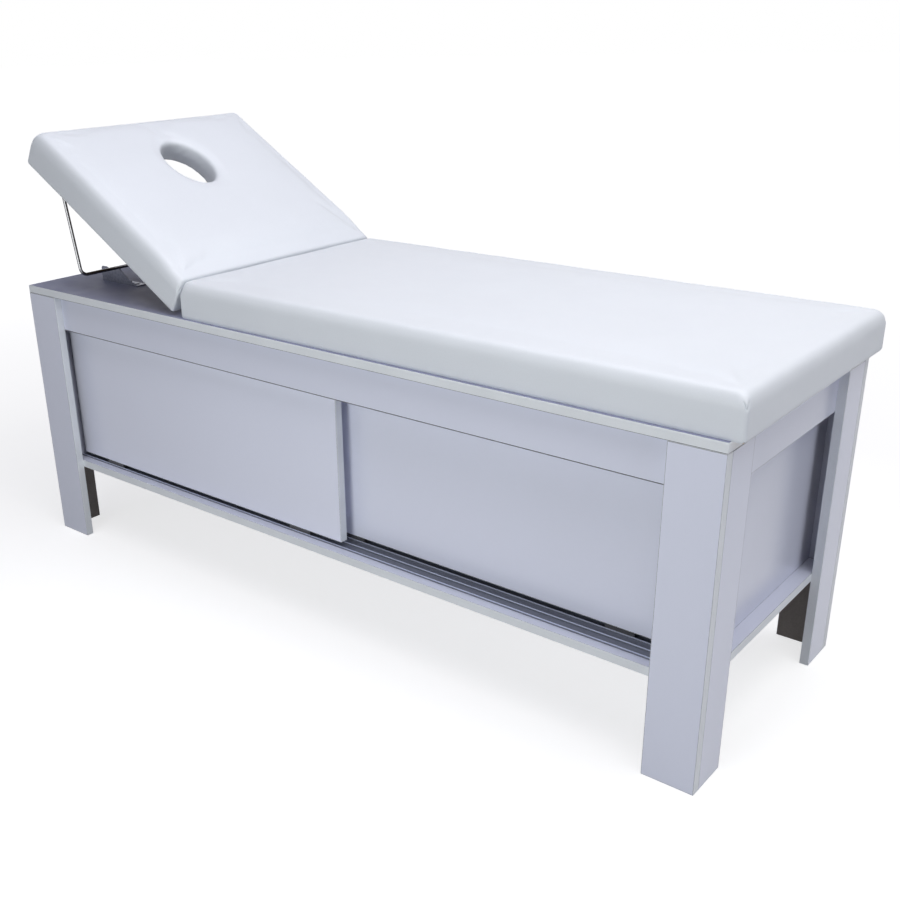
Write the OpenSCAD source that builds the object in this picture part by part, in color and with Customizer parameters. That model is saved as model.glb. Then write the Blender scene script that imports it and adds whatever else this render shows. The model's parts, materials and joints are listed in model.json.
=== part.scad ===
// Treatment bed on a board cabinet, millimetres.
// X runs from the head end (-X) to the foot end (+X), the doors face -Y, the floor is z = 0.
// The headrest is drawn raised on its prop; it turns about the hinge pins down to the tabletop.

/* [Cabinet] */
// Length of the cabinet over its legs
cab_len = 1800; // [1700:10:2000]
// Width of the cabinet over its legs
cab_w = 620; // [580:5:720]
// Height of the tabletop's upper face above the floor
top_h = 645; // [580:5:760]
// Thickness of the boards
board_t = 18; // [15:1:22]
// Width of a leg seen from the front
leg_w = 100; // [80:5:130]
// Depth of a leg seen from the end
leg_d = 100; // [80:5:130]
// Height of the bottom shelf's underside above the floor
shelf_h = 188; // [120:2:240]
// Height of the front apron and of the end rails
apron_h = 84; // [60:2:110]
// Setback of the end panels behind the end rails
panel_set = 30; // [20:1:45]

/* [Sliding doors] */
// Width of each sliding door
door_w = 882; // [850:2:940]
// Gap between a shut door and the end panel beside it
door_gap = 15; // [4:1:20]
// Side clearance of a door in its channel
door_clear = 1; // [0.5:0.1:1.5]
// Height of a door's lower edge above the track's floor
door_lift = 10.5; // [8:0.5:14]
// Room above a door in the top channel
door_head = 6; // [4:0.5:8]
// Distance from the shelf's front edge to the track
track_set = 21; // [19:0.5:26]
// Distance between the two door channels
track_pitch = 43; // [40:1:48]
// Thickness of the track's ribs
track_rib_t = 2; // [1.5:0.1:2.5]
// Height of the bottom track's ribs above its floor
track_rib_h = 3; // [2:0.5:4]
// Thickness of the track's floor
track_floor_t = 1.5; // [1:0.1:2]
// Depth of the top channel
track_lip = 14; // [12:1:18]
// Length of a runner under a door
runner_len = 60; // [40:2:90]
// Distance from a door's end to its runner
runner_set = 92; // [60:2:150]

/* [Upholstered sections] */
// Width over the covers
pad_w = 620; // [600:2:726]
// How far the padded sections sit back from the cabinet's middle
pad_shift = 8; // [0:1:12]
// Length of the raising headrest
rest_len = 552; // [500:2:620]
// How far the padding stands past the cabinet's foot end
pad_over = 20; // [10:1:35]
// Height from the frame's underside to the edge of the padding
pad_h = 79; // [74:1:84]
// Height of the frame rails
rail_h = 40; // [38:1:44]
// Thickness of the frame rails
rail_t = 16; // [14:1:22]
// Thickness of the plywood boards under the foam
ply_t = 9; // [6:1:12]
// Thickness of the cover with its lining at the sides
cover_t = 3; // [2:0.5:4]
// How far down the rounding of the padding's upper edges begins
edge_down = 28; // [20:1:30]
// How far in the rounding of the padding's upper edges reaches
edge_in = 20; // [14:1:26]
// Rounding of the padding's upper edges beside the hinges
hinge_edge_r = 9; // [6:1:14]
// Rounding of the padding's corners seen from above
corner_r = 8; // [5:1:10]
// Rise of the padding from its edge to its middle
crown_h = 6; // [2:1:10]
// How far the sides draw in between the corners
draw_in = 1.5; // [0.5:0.5:2]
// Clearance under the headrest when it lies flat
rest_clear = 1; // [0.5:0.1:2]

/* [Face hole] */
// Length of the face hole along the bed
hole_len = 158; // [120:2:180]
// Width of the face hole
hole_w = 114; // [90:2:140]
// Distance from the head end to the middle of the hole
hole_from_end = 184; // [160:2:230]
// Rounding of the padded rim round the hole
rim_r = 14; // [8:1:20]

/* [Hinges] */
// Angle of the raised headrest
tilt = 31; // [20:1:34]
// Height of the hinge axis above the tabletop
hinge_h = 48; // [46:0.5:49]
// Gap from the hinge plane to each wooden frame
frame_gap = 6; // [5.5:0.1:8]
// Radius of the hinge knuckles
knuckle_r = 4.5; // [4:0.1:5]
// Radius of the hinge pins
pin_r = 2.5; // [2:0.1:3]
// Width of each hinge
hinge_w = 60; // [50:2:80]
// Height of each hinge leaf below the axis
leaf_h = 36; // [34:1:37]
// Thickness of the hinge leaves
leaf_t = 2; // [1.5:0.1:2.5]
// Distance from the padding's side to the middle of an outer hinge
hinge_from_side = 85; // [60:5:130]

/* [Headrest prop] */
// Diameter of the bent steel rod
rod_d = 8; // [6:0.5:9]
// Length of the prop from its pivot to its foot
prop_len = 212.5; // [208:0.5:214]
// Distance from the hinge axis to the prop's pivot
prop_from_hinge = 457; // [455:1:462]
// Height of the prop's pivot above the tabletop when the headrest lies flat
prop_low = 8; // [7.5:0.5:9]
// Lean of the raised prop from upright
prop_lean = 10; // [8:1:12]
// Turn of the prop in the headrest for each degree of tilt
prop_ratio = 1.81; // [1.78:0.01:1.84]
// Gap between the prop's legs and the frame rails
prop_gap = 2.5; // [2:0.5:4]
// Bend radius at the prop's feet
bend_r = 16; // [12:1:24]
// Distance of each rack from the middle of the bed
rack_y = 175; // [120:5:220]
// Length of the racks behind the raised prop's foot
rack_back = 72; // [50:2:90]
// Thickness of the rack plates
rack_t = 3; // [2:0.5:4]
// Width of the racks' screwed flange
rack_flange = 22; // [18:1:30]

/* [Hidden] */
// Steps round a full circle
fn_round = 48;
$fn = fn_round;
// Overrun of every cut past the face that it opens
over = 1;
// Smallest gap between a moving piece and its neighbour
run_gap = 0.3;
// Radial clearance of a pin in its bore
pin_clear = 0.05;

// Places along X, Y and Z that several pieces share
total_len = cab_len + pad_over;
x_head = -total_len / 2;
x_foot = x_head + cab_len;
x_mid = (x_head + x_foot) / 2;
y_out = cab_w / 2;
y_in = y_out - board_t;
y_core = y_in - board_t;
z_under = top_h - board_t;
z_shelf = shelf_h + board_t;
z_apron = z_under - apron_h;
panel_in = board_t + panel_set;
x_panel_head = x_head + panel_in + board_t;
x_panel_foot = x_foot - panel_in - board_t;

// Door channels
channel_w = board_t + 2 * door_clear;
track_w = track_pitch + channel_w + 2 * track_rib_t;
y_track = -y_in + track_set;
y_door_front = y_track + track_rib_t + door_clear;
y_door_back = y_door_front + track_pitch;
z_track = z_shelf + track_floor_t;
z_door = z_track + door_lift;
door_h = z_under - track_floor_t - door_head - z_door;
partition_gap = 10;

// Upholstery
hinge_x = x_head + rest_len;
hinge_z = top_h + hinge_h;
pad_y = pad_w / 2;
hinge_pitch = pad_y - hinge_from_side;
frame_y = pad_y - cover_t;
cover_gap = frame_gap - cover_t;
pad_end = x_foot + pad_over;
foam_drop = 3;
foam_cut = 20;
cross_share = 1 / 3;

// Screws
screw_r = 2;
screw_head_r = 4;
screw_head_t = 1.8;
screw_len = 28;
small_screw_len = 14;

// Prop
rod_r = rod_d / 2;
prop_y = frame_y - rail_t - prop_gap - rod_r;
bush_wall = 2;
stub_r = rod_r + bush_wall;
stub_len = rail_t - 2 * bush_wall;
bush_r = rod_r + bush_wall;
bush_len = stub_len + bush_wall;
prop_dx = -prop_from_hinge;
prop_dz = prop_low - hinge_h;

// Racks
rack_clear = 0.5;
rack_h = 38.5;
rack_block = 20;
rack_block_h = 35;
rack_dip = 7;
rack_tooth = 6;
rack_fall_angle = 9.5;
fall_n = 10;
dip_n = 6;
notch_depth = 2.2;
notch_angles = [6.5, 9];
rack_screw_shares = [0.12, 0.88];

steel_colour = "silver";
board_colour = [0.80, 0.82, 0.90];
wood_colour = [0.82, 0.70, 0.52];
cover_colour = [0.93, 0.93, 0.97];
foam_colour = [0.95, 0.90, 0.70];
plastic_colour = [0.70, 0.72, 0.76];

// A board between two corners
module board(a, b) {
    translate(a) cube(b - a);
}

// Turns a piece drawn flat up to the raised headrest's place
module raised() {
    translate([hinge_x, 0, hinge_z]) rotate([0, tilt, 0]) translate([-hinge_x, 0, -hinge_z])
        children();
}

// The cabinet and the padded sections, each shifted half way from the middle of the whole
module base() {
    translate([0, -pad_shift / 2, 0]) children();
}

module pads() {
    translate([0, pad_shift / 2, 0]) children();
}

// A wood screw along +Z, its shank from the origin up and its head below
module screw(len) {
    cylinder(r = screw_r, h = len);
    translate([0, 0, -screw_head_t]) cylinder(r = screw_head_r, h = screw_head_t);
}

// One leg is a face board and a side board; sx and sy pick the corner
module leg_face(sx, sy) {
    color(board_colour)
        translate([x_mid, 0, 0]) mirror([sx > 0 ? 0 : 1, 0, 0]) mirror([0, sy > 0 ? 0 : 1, 0])
            board([cab_len / 2 - leg_w, y_in, 0], [cab_len / 2, y_out, z_under]);
}

module leg_side(sx, sy) {
    color(board_colour)
        translate([x_mid, 0, 0]) mirror([sx > 0 ? 0 : 1, 0, 0]) mirror([0, sy > 0 ? 0 : 1, 0])
            board([cab_len / 2 - board_t, y_out - leg_d, 0], [cab_len / 2, y_in, z_under]);
}

// Places of the screws that hold the bed frame, up through the tabletop
function cross_x(i) = let (a = hinge_x + frame_gap + rail_t, b = pad_end - cover_t - rail_t)
    a + (b - a) * cross_share * i;
frame_screw_x = [hinge_x + frame_gap + rail_t / 2, cross_x(1), cross_x(2)];
frame_screw_y = rack_y;

module frame_screw_places() {
    for (x = frame_screw_x)
        for (s = [-1, 1])
            translate([x, s * frame_screw_y, z_under]) children();
}

module tabletop() {
    color(board_colour) difference() {
        board([x_head, -y_out, z_under], [x_foot, y_out, top_h]);
        translate([0, pad_shift, 0]) {
            frame_screw_places() cylinder(r = screw_r, h = board_t + over);
            rack_screw_places() cylinder(r = screw_r, h = 2 * small_screw_len, center = true);
        }
    }
}

module front_apron() {
    color(board_colour)
        board([x_head + board_t, -y_in, z_apron], [x_foot - board_t, -y_core, z_under]);
}

module back_panel() {
    color(board_colour)
        board([x_head + board_t, y_core, z_shelf], [x_foot - board_t, y_in, z_under]);
}

module end_rail(s) {
    color(board_colour) translate([x_mid, 0, 0]) mirror([s > 0 ? 0 : 1, 0, 0])
        board([cab_len / 2 - 2 * board_t, -y_core, z_apron],
            [cab_len / 2 - board_t, y_core, z_under]);
}

module end_panel(s) {
    color(board_colour) translate([x_mid, 0, 0]) mirror([s > 0 ? 0 : 1, 0, 0])
        board([cab_len / 2 - panel_in - board_t, -y_core, z_shelf],
            [cab_len / 2 - panel_in, y_core, z_under]);
}

module bottom_shelf() {
    color(board_colour)
        board([x_head + board_t, -y_in, shelf_h], [x_foot - board_t, y_in, z_shelf]);
}

module centre_partition() {
    color(board_colour)
        board([x_mid - board_t / 2, y_door_back + board_t + partition_gap, z_shelf],
            [x_mid + board_t / 2, y_core, z_under]);
}

// Ribs of one track: two channels, one behind the other
module ribs(z0, z1) {
    for (y = [0, track_rib_t + channel_w, track_pitch, track_pitch + track_rib_t + channel_w])
        board([x_panel_head, y_track + y, z0], [x_panel_foot, y_track + y + track_rib_t, z1]);
}

module bottom_track() {
    color(plastic_colour) union() {
        board([x_panel_head, y_track, z_shelf], [x_panel_foot, y_track + track_w, z_track]);
        ribs(z_shelf, z_track + track_rib_h);
    }
}

module top_track() {
    color(plastic_colour) union() {
        board([x_panel_head, y_track, z_under - track_floor_t],
            [x_panel_foot, y_track + track_w, z_under]);
        ribs(z_under - track_lip, z_under);
    }
}

// A sliding door; x is its left edge and y its front face
module door(x, y) {
    color(board_colour) board([x, y, z_door], [x + door_w, y + board_t, z_door + door_h]);
}

module door_runners(x, y) {
    color(plastic_colour)
        for (u = [x + runner_set, x + door_w - runner_set - runner_len])
            board([u, y, z_track + run_gap], [u + runner_len, y + board_t, z_door]);
}

x_left_door = x_panel_head + door_gap;
x_right_door = x_panel_foot - door_gap - door_w;

// Foot of the prop when the headrest is lowered by a degrees from its raised place
function turn(p, a) = [p[0] * cos(a) + p[1] * sin(a), p[1] * cos(a) - p[0] * sin(a)];
function pivot_at(a) = [hinge_x, hinge_z] + turn([prop_dx, prop_dz], tilt - a);
function foot_at(a) = pivot_at(a) + turn([0, -prop_len], -prop_lean - a * (1 + prop_ratio));
function unit(v) = v / norm(v);
path_step = 0.25;
function path_down(a) = let (d = unit(foot_at(a + path_step) - foot_at(a))) [d[1], -d[0]];
foot_x = foot_at(0)[0];
foot_z = foot_at(0)[1];

// Side view of a rack: a block and a dip behind the raised foot, then a fall under its path
saddle_r = rod_r + rack_clear;
saddle_turn_angles = [195, 210, 225];
rack_x0 = foot_x - rack_back;
rack_x1 = foot_at(rack_fall_angle)[0];
module rack_outline() {
    path = [for (i = [1 : fall_n]) let (a = rack_fall_angle * i / fall_n)
        foot_at(a) + saddle_r * path_down(a)];
    dip_x0 = rack_x0 + rack_block;
    dip_x1 = foot_x - saddle_r - rack_tooth;
    difference() {
        polygon(concat(
            [[rack_x0, top_h], [rack_x0, top_h + rack_block_h - rod_r],
             [rack_x0 + rod_r, top_h + rack_block_h]],
            [for (i = [0 : dip_n]) [dip_x0 + (dip_x1 - dip_x0) * i / dip_n,
                top_h + rack_block_h - rack_dip * sin(180 * i / dip_n)]],
            [[dip_x1, top_h + rack_h], [foot_x - saddle_r, top_h + rack_h]],
            [for (t = saddle_turn_angles) [foot_x, foot_z] + saddle_r * [cos(t), sin(t)]],
            path, [[rack_x1, top_h]]));
        for (a = notch_angles) translate(foot_at(a) + notch_depth * path_down(a))
            circle(r = saddle_r);
    }
}

module rack_screw_places() {
    for (s = [-1, 1])
        for (u = rack_screw_shares)
            translate([rack_x0 + u * (rack_x1 - rack_x0),
                s * (rack_y - rack_t / 2 - rack_flange / 2), top_h]) children();
}

module rack(s) {
    color(steel_colour) mirror([0, s > 0 ? 0 : 1, 0]) difference() {
        union() {
            translate([0, rack_y + rack_t / 2, 0]) rotate([90, 0, 0])
                linear_extrude(rack_t) rack_outline();
            board([rack_x0, rack_y - rack_t / 2 - rack_flange, top_h],
                [rack_x1, rack_y, top_h + rack_t]);
        }
        for (u = rack_screw_shares)
            translate([rack_x0 + u * (rack_x1 - rack_x0), rack_y - rack_t / 2 - rack_flange / 2,
                top_h - over]) cylinder(r = screw_r, h = rack_t + 2 * over);
    }
}

module rack_screws() {
    color(steel_colour) rack_screw_places()
        translate([0, 0, rack_t]) rotate([180, 0, 0]) screw(small_screw_len);
}

// Frame rails of a padded section; z0 is the underside
module rail(a, b, z0) {
    color(wood_colour) board([a[0], a[1], z0], [b[0], b[1], top_h + rail_h]);
}

bed_x0 = hinge_x + frame_gap;
bed_x1 = pad_end - cover_t;
rest_x0 = x_head + cover_t;
rest_x1 = hinge_x - frame_gap;
z_rest = top_h + rest_clear;

// Screws of the hinge leaves; s = 1 on the bed side, -1 on the headrest side
hinge_screw_share = 0.3;
module hinge_screw_places(s) {
    for (k = [-1, 0, 1])
        for (u = [-1, 1])
            translate([hinge_x + s * (frame_gap - leaf_t),
                k * hinge_pitch + u * hinge_screw_share * hinge_w, hinge_z - leaf_h / 2 - knuckle_r])
                rotate([0, s * 90, 0]) children();
}

module hinge_screws(s) {
    color(steel_colour) hinge_screw_places(s) screw(small_screw_len);
}

module bed_hinge_rail() {
    difference() {
        rail([bed_x0, -frame_y + rail_t], [bed_x0 + rail_t, frame_y - rail_t], top_h);
        frame_screw_places() cylinder(r = screw_r, h = screw_len);
        hinge_screw_places(1) cylinder(r = screw_r, h = small_screw_len);
    }
}

module bed_cross_rails() {
    difference() {
        for (i = [1, 2])
            rail([cross_x(i) - rail_t / 2, -frame_y + rail_t],
                [cross_x(i) + rail_t / 2, frame_y - rail_t], top_h);
        frame_screw_places() cylinder(r = screw_r, h = screw_len);
    }
}

module rest_hinge_rail() {
    raised() difference() {
        rail([rest_x1 - rail_t, -frame_y + rail_t], [rest_x1, frame_y - rail_t], z_rest);
        hinge_screw_places(-1) cylinder(r = screw_r, h = small_screw_len);
    }
}

// Side rail of the headrest with the blind bore for the prop's bush
module rest_side_rail(s) {
    raised() mirror([0, s > 0 ? 0 : 1, 0]) difference() {
        rail([rest_x0, frame_y - rail_t], [rest_x1, frame_y], z_rest);
        translate([hinge_x + prop_dx, frame_y - rail_t, hinge_z + prop_dz]) rotate([-90, 0, 0])
            cylinder(r = bush_r, h = bush_len);
    }
}

// Oval with n sides, for the face hole and what lines it
oval_n = 48;
hole_x = x_head + hole_from_end;
function oval(a, b) = [for (i = [0 : oval_n - 1])
    [hole_x + a * cos(360 * i / oval_n), b * sin(360 * i / oval_n)]];
module oval_column(grow, z0, z1) {
    translate([0, 0, z0]) linear_extrude(z1 - z0)
        polygon(oval(hole_len / 2 + grow, hole_w / 2 + grow));
}

z_ply = top_h + rail_h;
z_foam = z_ply + ply_t;
z_foam_top = top_h + pad_h - foam_drop;

module ply(x0, x1) {
    color(wood_colour) board([x0, -frame_y, z_ply], [x1, frame_y, z_foam]);
}

// Foam block with its upper edges cut back, so that it lies under the rounded cover
module foam(x0, x1) {
    color(foam_colour) intersection() {
        translate([x0, 0, 0]) rotate([90, 0, 90]) linear_extrude(x1 - x0)
            polygon([[-frame_y, z_foam], [frame_y, z_foam], [frame_y, z_foam_top - foam_cut],
                [frame_y - foam_cut, z_foam_top], [foam_cut - frame_y, z_foam_top],
                [-frame_y, z_foam_top - foam_cut]]);
        translate([0, frame_y, 0]) rotate([90, 0, 0]) linear_extrude(2 * frame_y)
            polygon([[x0, z_foam], [x1, z_foam], [x1, z_foam_top - foam_cut],
                [x1 - foam_cut, z_foam_top], [x0 + foam_cut, z_foam_top],
                [x0, z_foam_top - foam_cut]]);
    }
}

module rest_board() {
    raised() difference() {
        ply(rest_x0, rest_x1);
        oval_column(cover_t, z_ply - over, z_foam + over);
    }
}

module rest_foam() {
    raised() difference() {
        foam(rest_x0, rest_x1);
        oval_column(cover_t, z_foam - over, z_foam_top + over);
    }
}

// Rings of a cover: rounded rectangles whose sides bow in between the corners
corner_n = 4;
side_n = 8;
function corner_arc(c, r, a0) = [for (i = [0 : corner_n])
    [c[0] + r * cos(a0 + 90 * i / corner_n), c[1] + r * sin(a0 + 90 * i / corner_n)]];
function side_row(p, q, bow) = let (d = unit(q - p), n = [-d[1], d[0]])
    [for (i = [1 : side_n - 1]) p + (q - p) * i / side_n + bow * sin(180 * i / side_n) * n];
function plan_ring(x0, x1, y, r, bow) = let (c = [
        corner_arc([x1 - r, y - r], r, 0), corner_arc([x0 + r, y - r], r, 90),
        corner_arc([x0 + r, r - y], r, 180), corner_arc([x1 - r, r - y], r, 270)])
    [for (k = [0 : 3]) each concat(c[k], side_row(c[k][corner_n], c[(k + 1) % 4][0], bow))];
function lift(ring, z) = [for (p = ring) [p[0], p[1], z]];

// One ring at height z: drawn in by inset, and by in0 and in1 at its two ends
function cover_ring(x0, x1, inset, in0, in1, z, bow) = lift(plan_ring(x0 + in0, x1 - in1,
    pad_y - inset, corner_r + inset * corner_share, bow), z);
corner_share = 0.35;

// The ends at the hinge plane lean back half the tilt above the axis, so that they meet raised
function hinge_in(z) = let (d = max(0, z - top_h - pad_h + hinge_edge_r))
    max(0, z - hinge_z) * tan(tilt / 2) + hinge_edge_r - sqrt(hinge_edge_r * hinge_edge_r - d * d);
function end_in(at_hinge, inset, z) = at_hinge ? hinge_in(z) : inset;

// Rings from the underside up the side, round the edge and over the crown
arc_n = 5;
tuck = 1;
crown_reach = 200;
crown_inset_shares = [0.35, 0.65, 1];
crown_rise_shares = [0.55, 0.85, 1];
function side_ring(x0, x1, h, inset, z) = cover_ring(x0, x1, inset,
    end_in(h < 0, inset, z), end_in(h > 0, inset, z), z, draw_in);
function side_rings(x0, x1, z0, h) = let (z1 = top_h + pad_h) concat(
    [side_ring(x0, x1, h, tuck, z0), side_ring(x0, x1, h, 0, z0 + tuck),
     side_ring(x0, x1, h, 0, (z0 + z1 - edge_down) / 2)],
    [for (i = [0 : arc_n]) let (a = 90 * i / arc_n)
        side_ring(x0, x1, h, edge_in * (1 - cos(a)), z1 - edge_down * (1 - sin(a)))]);
function crown_ring(x0, x1, k) = let (i = crown_reach * crown_inset_shares[k])
    cover_ring(x0, x1, i, i, i, top_h + pad_h + crown_h * crown_rise_shares[k], 0);

function middle(ring) = [for (k = [0 : 2]) (max([for (p = ring) p[k]]) + min([for (p = ring) p[k]])) / 2];

// Joins rings of equal length; wrap closes the last ring to the first
module ring_solid(rings, wrap) {
    n = len(rings[0]);
    m = len(rings);
    points = concat([for (r = rings) each r], [middle(rings[0]), middle(rings[m - 1])]);
    walls = [for (j = [0 : (wrap ? m - 1 : m - 2)]) for (i = [0 : n - 1])
        let (a = j * n + i, b = j * n + (i + 1) % n, k = (j + 1) % m, c = k * n + i,
            d = k * n + (i + 1) % n)
        each [[a, c, b], [b, c, d]]];
    caps = wrap ? [] : [for (i = [0 : n - 1]) let (j = (i + 1) % n)
        each [[i, j, m * n], [(m - 1) * n + j, (m - 1) * n + i, m * n + 1]]];
    polyhedron(points = wrap ? [for (r = rings) each r] : points, faces = concat(walls, caps));
}

// Cuts for the hinges in the end of a cover that faces the hinge plane
module hinge_pockets() {
    for (k = [-1, 0, 1])
        translate([hinge_x, k * hinge_pitch, 0])
            board([-frame_gap - over, -hinge_w / 2 - screw_head_t - over, top_h - over],
                [frame_gap + over, hinge_w / 2 + screw_head_t + over, hinge_z + knuckle_r + over]);
}

// The space inside a cover: rails, hollow and board, which the foam's cut carries on
module cover_core(x0, x1, z0) {
    board([x0, -frame_y, z0 - over], [x1, frame_y, z_foam + over]);
}

module bed_cover() {
    x0 = hinge_x + cover_gap;
    color(cover_colour) difference() {
        ring_solid(concat(side_rings(x0, pad_end, top_h, -1),
            [for (k = [0 : 2]) crown_ring(x0, pad_end, k)]), false);
        cover_core(bed_x0, bed_x1, top_h);
        foam(bed_x0, bed_x1);
        hinge_pockets();
    }
}

// Rings that lead from the crown to the face hole and down through it
rim_n = 4;
function oval_ring(ring, grow, z) = [for (p = ring)
    let (t = atan2(p[1] / pad_w, (p[0] - hole_x) / rest_len))
    [hole_x + (hole_len / 2 + grow) * cos(t), (hole_w / 2 + grow) * sin(t), z]];
rim_rise_share = 0.6;
function hole_rings(x0, x1) = let (base = plan_ring(x0, x1, pad_y, corner_r, 0),
        zt = top_h + pad_h + crown_h * rim_rise_share) concat(
    [oval_ring(base, 2 * rim_r, zt)],
    [for (i = [0 : rim_n]) let (a = 90 * i / rim_n)
        oval_ring(base, rim_r * (1 - sin(a)), zt - rim_r * (1 - cos(a)))],
    [oval_ring(base, 0, z_ply - over)]);

module rest_cover() {
    x1 = hinge_x - cover_gap;
    color(cover_colour) raised() difference() {
        ring_solid(concat(side_rings(x_head, x1, z_rest, 1), hole_rings(x_head, x1)), true);
        difference() {
            union() {
                cover_core(rest_x0, rest_x1, z_rest);
                foam(rest_x0, rest_x1);
            }
            oval_column(cover_t, z_ply, z_foam_top + over);
        }
        hinge_pockets();
    }
}

// Butt hinges: outer knuckles on the bed's leaf, the middle knuckle on the headrest's
knuckle_share = 1 / 3;
module knuckle(y0, y1, s) {
    translate([hinge_x, y0, hinge_z]) rotate([-90, 0, 0]) cylinder(r = knuckle_r, h = y1 - y0);
    translate([hinge_x, y0, 0]) mirror([s > 0 ? 0 : 1, 0, 0])
        board([0, 0, hinge_z - knuckle_r - leaf_t], [frame_gap, y1 - y0, hinge_z]);
}

module hinge_leaf(s) {
    w = hinge_w / 2;
    k = hinge_w * knuckle_share / 2;
    difference() {
        union() {
            translate([hinge_x, 0, 0]) mirror([s > 0 ? 0 : 1, 0, 0])
                board([frame_gap - leaf_t, -w, hinge_z - leaf_h - knuckle_r],
                    [frame_gap, w, hinge_z - knuckle_r - leaf_t]);
            if (s > 0) {
                knuckle(-w, -k, s);
                knuckle(k, w, s);
            } else {
                knuckle(-k + run_gap, k - run_gap, s);
            }
        }
        translate([hinge_x, 0, hinge_z]) rotate([90, 0, 0])
            cylinder(r = pin_r + pin_clear, h = hinge_w + 2 * over, center = true);
    }
}

module hinge_leaves(s) {
    color(steel_colour) difference() {
        for (k = [-1, 0, 1]) translate([0, k * hinge_pitch, 0]) hinge_leaf(s);
        hinge_screw_places(s) cylinder(r = screw_r, h = small_screw_len);
    }
}

module hinge_pins() {
    color(steel_colour) for (k = [-1, 0, 1])
        translate([hinge_x, k * hinge_pitch - hinge_w / 2, hinge_z]) rotate([-90, 0, 0]) union() {
            translate([0, 0, -screw_head_t]) cylinder(r = knuckle_r, h = screw_head_t);
            cylinder(r = pin_r, h = hinge_w);
            translate([0, 0, hinge_w]) cylinder(r = knuckle_r, h = screw_head_t);
        }
}

// Flanged bush that carries the prop's end in the side rail
module prop_bushes() {
    color(plastic_colour) raised() for (s = [0, 1]) mirror([0, s, 0])
        translate([hinge_x + prop_dx, frame_y - rail_t, hinge_z + prop_dz]) rotate([-90, 0, 0])
            difference() {
                cylinder(r = bush_r, h = bush_len);
                translate([0, 0, -over]) cylinder(r = rod_r + pin_clear, h = stub_len + 2 * over);
            }
}

// Half of the bent rod, in its own plane: the pivot is the origin and the leg runs down
module bend(r, turn_z) {
    rotate([0, 0, turn_z]) rotate_extrude(angle = 90) translate([r, 0]) circle(r = rod_r);
}

module prop_half() {
    // Drawn with X across the bed and Y along the leg
    translate([prop_y + stub_r, 0, 0]) rotate([0, 90, 0])
        cylinder(r = rod_r, h = frame_y - rail_t + stub_len - prop_y - stub_r);
    translate([prop_y + stub_r, -stub_r, 0]) bend(stub_r, 90);
    translate([prop_y, -stub_r, 0]) rotate([90, 0, 0])
        cylinder(r = rod_r, h = prop_len - stub_r - bend_r);
    translate([prop_y - bend_r, bend_r - prop_len, 0]) bend(bend_r, 270);
    translate([0, -prop_len, 0]) rotate([0, 90, 0]) cylinder(r = rod_r, h = prop_y - bend_r);
}

module prop_bail() {
    color(steel_colour) translate([pivot_at(0)[0], 0, pivot_at(0)[1]]) rotate([0, -prop_lean, 0])
        rotate([90, 0, 90]) union() {
            prop_half();
            mirror([1, 0, 0]) prop_half();
        }
}

base() tabletop();
base() leg_face(-1, -1);  // head_front_leg_face
base() leg_side(-1, -1);  // head_front_leg_side
base() leg_face(1, -1);  // foot_front_leg_face
base() leg_side(1, -1);  // foot_front_leg_side
base() leg_face(-1, 1);  // head_back_leg_face
base() leg_side(-1, 1);  // head_back_leg_side
base() leg_face(1, 1);  // foot_back_leg_face
base() leg_side(1, 1);  // foot_back_leg_side
base() front_apron();
base() back_panel();
base() end_rail(-1);  // head_end_rail
base() end_rail(1);  // foot_end_rail
base() end_panel(-1);  // head_end_panel
base() end_panel(1);  // foot_end_panel
base() bottom_shelf();
base() centre_partition();
base() bottom_track();
base() top_track();
base() door(x_left_door, y_door_front);  // left_door
base() door_runners(x_left_door, y_door_front);  // left_door_runners
base() door(x_right_door, y_door_back);  // right_door
base() door_runners(x_right_door, y_door_back);  // right_door_runners
pads() rack(-1);  // front_rack
pads() rack(1);  // back_rack
pads() rack_screws();
pads()  // bed_front_rail
    rail([bed_x0, -frame_y], [bed_x1, rail_t - frame_y], top_h);
pads()  // bed_back_rail
    rail([bed_x0, frame_y - rail_t], [bed_x1, frame_y], top_h);
pads() bed_hinge_rail();
pads()  // bed_foot_rail
    rail([bed_x1 - rail_t, rail_t - frame_y], [bed_x1, frame_y - rail_t], top_h);
pads() bed_cross_rails();
pads() ply(bed_x0, bed_x1);  // bed_board
pads() foam(bed_x0, bed_x1);  // bed_foam
pads() bed_cover();
pads()  // bed_frame_screws
    color(steel_colour) frame_screw_places() screw(screw_len);
pads() hinge_leaves(1);  // hinge_bed_leaves
pads() hinge_screws(1);  // hinge_bed_screws
pads() hinge_pins();
pads() rest_side_rail(-1);  // rest_front_rail
pads() rest_side_rail(1);  // rest_back_rail
pads() rest_hinge_rail();
pads()  // rest_head_rail
    raised() rail([rest_x0, rail_t - frame_y], [rest_x0 + rail_t, frame_y - rail_t], z_rest);
pads() rest_board();
pads() rest_foam();
pads() rest_cover();
pads() raised() hinge_leaves(-1);  // hinge_rest_leaves
pads() raised() hinge_screws(-1);  // hinge_rest_screws
pads() prop_bushes();
pads() prop_bail();
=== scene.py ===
"""Looks of the spa bed with cabinet base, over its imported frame. Metres.

X runs from the head end (-X) to the foot end (+X), the doors face -Y, the floor is z = 0.
"""

import json
import math

import bmesh
import bpy
import numpy as np
from mathutils import Matrix, Vector, noise

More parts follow.
